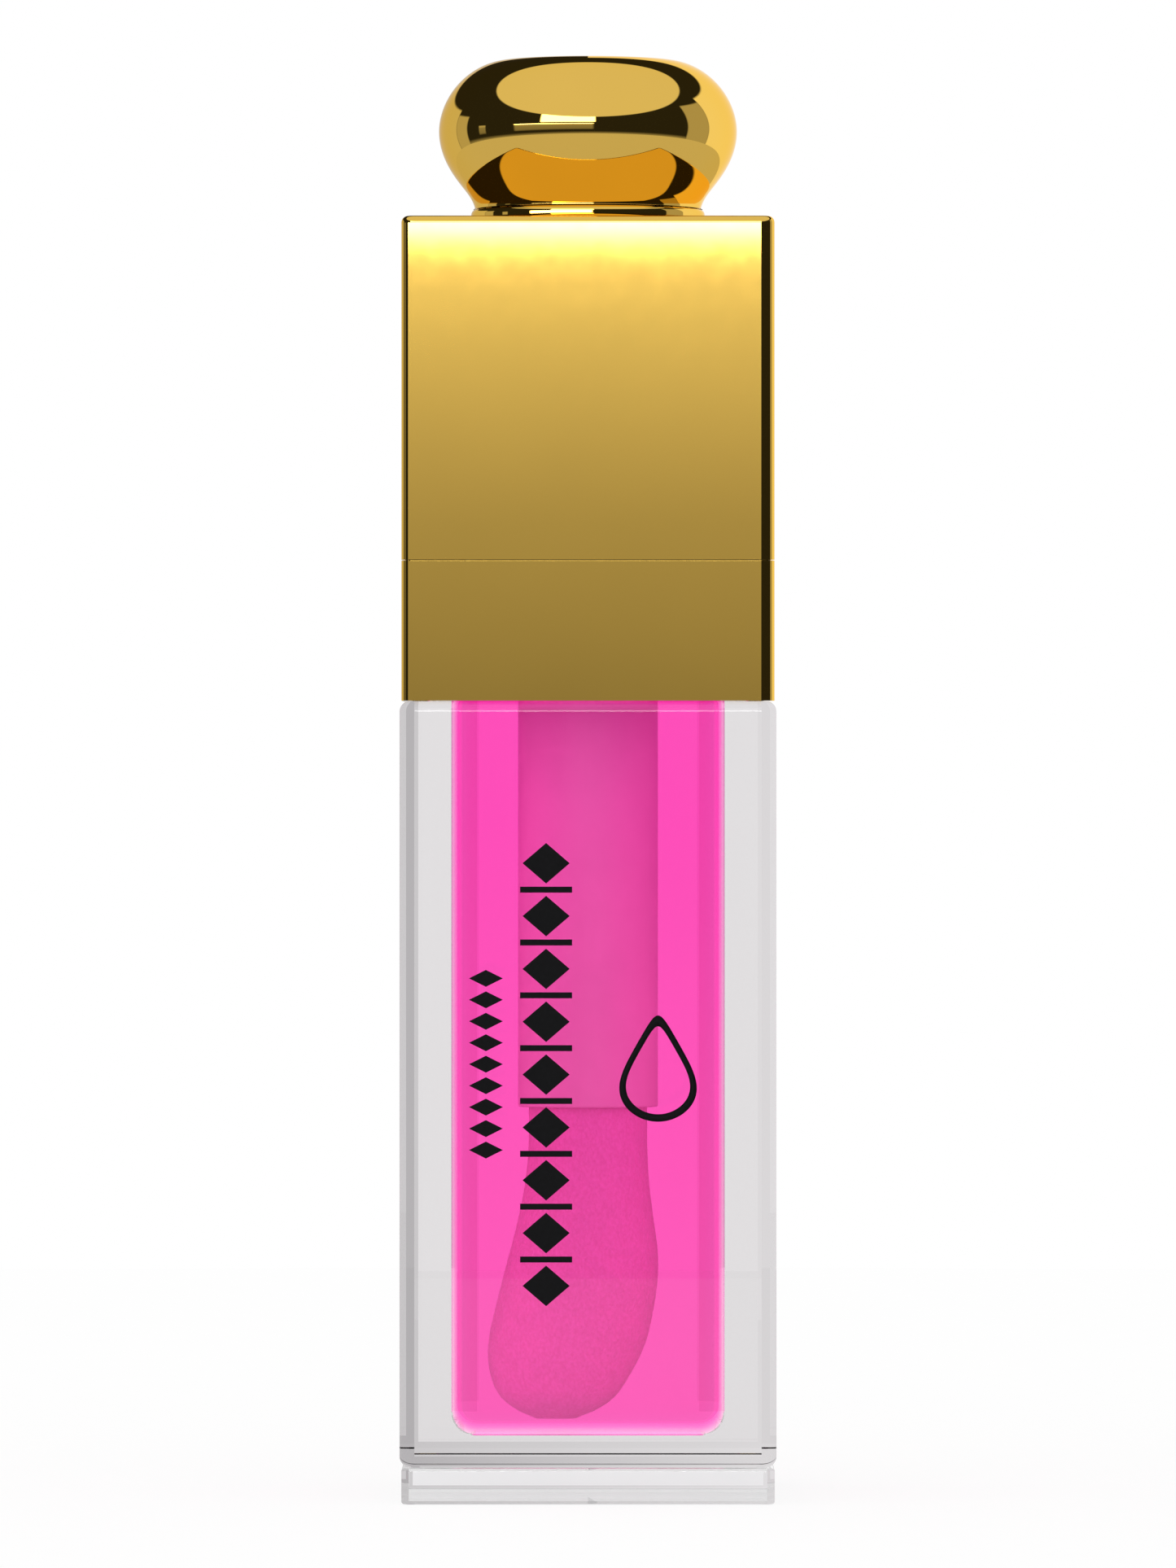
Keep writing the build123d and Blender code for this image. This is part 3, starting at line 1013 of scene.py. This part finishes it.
def studio(stage):
    """White surround with studio panels that only reflections see.

    Elevation is arcsin z and azimuth is the angle from the front, positive to the right, both in degrees. A
    round soft panel hangs high in front. A lamp panel stands low in front: it is dim at the floor, brighter
    upwards and brightest at its top. Plain cards stand at the sides and behind, and between them it is dark.
    Far below the horizon it is as bright as the floor.
    """
    world = bpy.data.worlds.new("Studio")
    bpy.context.scene.world = world
    world.use_nodes = True
    tree = world.node_tree
    background = tree.nodes["Background"]
    place = node(tree, "ShaderNodeTexCoord")
    split = node(tree, "ShaderNodeSeparateXYZ")
    tree.links.new(place.outputs["Generated"], split.inputs["Vector"])
    x, y, z = (split.outputs[k] for k in "XYZ")
    degrees = 180 / math.pi
    elevation = number(tree, "MULTIPLY", number(tree, "ARCSINE", z), degrees)
    turn = number(tree, "ARCTAN2", x, number(tree, "MULTIPLY", y, -1.0))
    azimuth = number(tree, "MULTIPLY", turn, degrees)
    away = number(tree, "ABSOLUTE", azimuth)
    # Degrees of elevation and the lamp panel's brightness there.
    brightest = 9.0
    stops = [
        (-8.0, 0.03),
        (-6.0, 0.20),
        (0.2, 0.26),
        (0.46, 0.275),
        (1.11, 0.37),
        (1.36, 0.40),
        (1.69, 0.49),
        (2.03, 0.61),
        (2.20, 0.68),
        (2.36, 0.76),
        (2.53, 0.88),
        (2.61, 0.93),
        (2.70, 1.12),
        (2.74, 1.4),
        (2.78, 2.1),
        (2.82, 4.2),
        (2.86, brightest),
        (3.3, brightest),
        (3.6, 0.5),
    ]
    lamp = ramp(tree, elevation, -9.0, 4.0, stops, brightest)
    streak = number(tree, "MULTIPLY", window(tree, elevation, 6.4, 20.0, 2.4), 6.0)
    streak = number(tree, "MULTIPLY", streak, window(tree, azimuth, -37.0, 5.5, 2.0))
    low_lamp = number(tree, "MULTIPLY", lamp, window(tree, elevation, -8.0, 4.0, 0.6))
    low_front = number(tree, "MULTIPLY", low_lamp, window(tree, azimuth, -59.0, 4.0, 2.5))
    lamp_front = number(tree, "ADD", streak, low_front)
    around = number(tree, "ADD", window(tree, away, 86.5, 93.5, 1.5), step(tree, away, 175.5, 1.5))
    lamp_around = number(tree, "MULTIPLY", number(tree, "MINIMUM", lamp, 0.42), around)
    lamp_around = number(tree, "MULTIPLY", lamp_around, window(tree, elevation, -8.0, 3.4, 0.4))
    cards = number(tree, "MAXIMUM", lamp_front, lamp_around)
    # Plain cards: first and last azimuth, top edge and brightness.
    for start, end, top, bright in [
        (84.0, 108.0, 29.0, 0.42),
        (108.0, 181.0, 33.0, 0.95),
        (-123.0, -108.0, 14.0, 0.47),
        (-181.0, -123.0, 18.0, 0.62),
    ]:
        card = number(tree, "MULTIPLY", window(tree, azimuth, start, end, 2.0), bright)
        below = number(tree, "SUBTRACT", 1.0, step(tree, elevation, top, 2.0))
        cards = number(tree, "MAXIMUM", cards, number(tree, "MULTIPLY", card, below))
    # The round panel: how near a direction is to the panel's middle, and the edge it has there.
    high_front = weighted(tree, [(y, -0.342), (z, 0.940)])
    over = step(tree, high_front, 0.581, 0.02)
    beneath = number(tree, "SUBTRACT", 1.0, step(tree, elevation, -14.0, 7.0))
    ground = number(tree, "MULTIPLY", beneath, 0.46)
    sides = number(tree, "MAXIMUM", cards, ground)
    reflected = number(tree, "ADD", pick(tree, over, 0.74, sides), 0.022)
    # What clear pieces let through: bright along the four main directions, darker between them.
    level = number(tree, "SQRT", number(tree, "SUBTRACT", 1.0, number(tree, "MULTIPLY", z, z)))
    larger = number(tree, "MAXIMUM", number(tree, "ABSOLUTE", x), number(tree, "ABSOLUTE", y))
    facing = number(tree, "DIVIDE", larger, number(tree, "MAXIMUM", level, 0.001))
    through = number(tree, "ADD", 0.72, number(tree, "MULTIPLY", step(tree, facing, 0.90, 0.12), 0.28))
    path = node(tree, "ShaderNodeLightPath")
    matte = step(tree, path.outputs["Diffuse Depth"], 0.5, 0.1)
    # Matte pieces get more light from the front, from the left and from above.
    lean = weighted(tree, [(y, -1.2), (x, -0.4), (z, 0.4)], 1.0)
    inside = number(tree, "MULTIPLY", number(tree, "MAXIMUM", lean, 0.05), stage.inner_light)
    outside = number(tree, "ADD", number(tree, "MULTIPLY", lean, 0.4), 0.3)
    outside = number(tree, "MULTIPLY", number(tree, "MAXIMUM", outside, 0.1), stage.wall_light)
    light = pick(tree, path.outputs["Is Glossy Ray"], reflected, outside)
    light = pick(tree, path.outputs["Is Transmission Ray"], pick(tree, matte, inside, through), light)
    light = pick(tree, path.outputs["Is Camera Ray"], 1.0, light)
    tree.links.new(light, background.inputs["Strength"])
    background.inputs["Color"].default_value = (1, 1, 1, 1)


def floor_finish():
    """A white table that is bright in itself and shows only a faint contact shadow."""
    material = bpy.data.materials.new("Floor_White")
    material.use_nodes = True
    tree = material.node_tree
    tree.nodes.clear()
    paper = grain(tree, 400.0, 3.0)
    matte = node(tree, "ShaderNodeBsdfDiffuse")
    tree.links.new(tinted(tree, paper, (0.90, 0.90, 0.90), (0.93, 0.93, 0.93)), matte.inputs["Color"])
    glow = node(tree, "ShaderNodeEmission", _Strength=1.0)
    path = node(tree, "ShaderNodeLightPath")
    mirrored, direct, seen_through = 0.48, 0.86, 0.825
    strength = pick(tree, path.outputs["Is Glossy Ray"], mirrored, direct)
    strength = pick(tree, path.outputs["Is Transmission Ray"], seen_through, strength)
    tree.links.new(strength, glow.inputs["Strength"])
    share = node(tree, "ShaderNodeMixShader", _Fac=0.18)
    both = node(tree, "ShaderNodeAddShader")
    dark = node(tree, "ShaderNodeBsdfTransparent", _Color=(0, 0, 0, 1))
    tree.links.new(dark.outputs[0], share.inputs[1])
    tree.links.new(matte.outputs[0], share.inputs[2])
    tree.links.new(share.outputs[0], both.inputs[0])
    tree.links.new(glow.outputs[0], both.inputs[1])
    out = node(tree, "ShaderNodeOutputMaterial")
    tree.links.new(both.outputs[0], out.inputs["Surface"])
    return material


class GLOSSTUBE_OT_stage(TubeOperator, bpy.types.Operator):
    """Add the floor, the surround and the camera"""

    bl_idname = "glosstube.stage"
    bl_label = "Stage"

    def execute(self, context):
        stage = context.scene.tube_stage
        edge = stage.floor_radius
        underside = -2 * MM
        path = np.array([(0, underside), (edge, underside), (edge, 0), (0, 0)])
        floor = round_piece("Floor", path, 96)
        floor.data.polygons.foreach_set("use_smooth", np.zeros(len(floor.data.polygons), bool))
        floor.data.materials.append(floor_finish())
        studio(stage)
        data = bpy.data.cameras.new("Camera")
        camera = bpy.data.objects.new("Camera", data)
        context.scene.collection.objects.link(camera)
        camera.location = (0, -stage.camera_distance, stage.camera_height)
        camera.rotation_euler = (math.pi / 2, 0, 0)
        data.sensor_width = 36.0
        to_front = stage.camera_distance + low("bottle").y
        data.lens = data.sensor_width * to_front / stage.view_height
        data.clip_start = 0.01
        context.scene.camera = camera
        context.scene.view_settings.view_transform = "Standard"
        return {"FINISHED"}


class GLOSSTUBE_PT_panel(bpy.types.Panel):
    """The tube's operators in the sidebar"""

    bl_idname = "GLOSSTUBE_PT_panel"
    bl_label = "Gloss tube"
    bl_space_type = "VIEW_3D"
    bl_region_type = "UI"
    bl_category = "Gloss tube"

    def draw(self, context):
        for operator in operators:
            self.layout.operator(operator.bl_idname)


operators = [
    GLOSSTUBE_OT_base,
    GLOSSTUBE_OT_bottle,
    GLOSSTUBE_OT_gloss,
    GLOSSTUBE_OT_shells,
    GLOSSTUBE_OT_knob,
    GLOSSTUBE_OT_wand,
    GLOSSTUBE_OT_ornament,
    GLOSSTUBE_OT_inner_parts,
    GLOSSTUBE_OT_stage,
]
groups = {"tube_sizes": TubeSizes, "tube_colours": TubeColours, "tube_stage": TubeStage}


def register():
    for group in groups.values():
        bpy.utils.register_class(group)
    for name, group in groups.items():
        setattr(bpy.types.Scene, name, PointerProperty(type=group))
    for operator in operators:
        bpy.utils.register_class(operator)
    bpy.utils.register_class(GLOSSTUBE_PT_panel)


def unregister():
    bpy.utils.unregister_class(GLOSSTUBE_PT_panel)
    for operator in reversed(operators):
        bpy.utils.unregister_class(operator)
    for name in groups:
        delattr(bpy.types.Scene, name)
    for group in groups.values():
        bpy.utils.unregister_class(group)


def main():
    register()
    bpy.ops.glosstube.base()
    bpy.ops.glosstube.bottle()
    bpy.ops.glosstube.gloss()
    bpy.ops.glosstube.shells()
    bpy.ops.glosstube.knob()
    bpy.ops.glosstube.wand()
    bpy.ops.glosstube.ornament()
    bpy.ops.glosstube.inner_parts()
    bpy.ops.glosstube.stage()


if __name__ == "__main__":
    main()
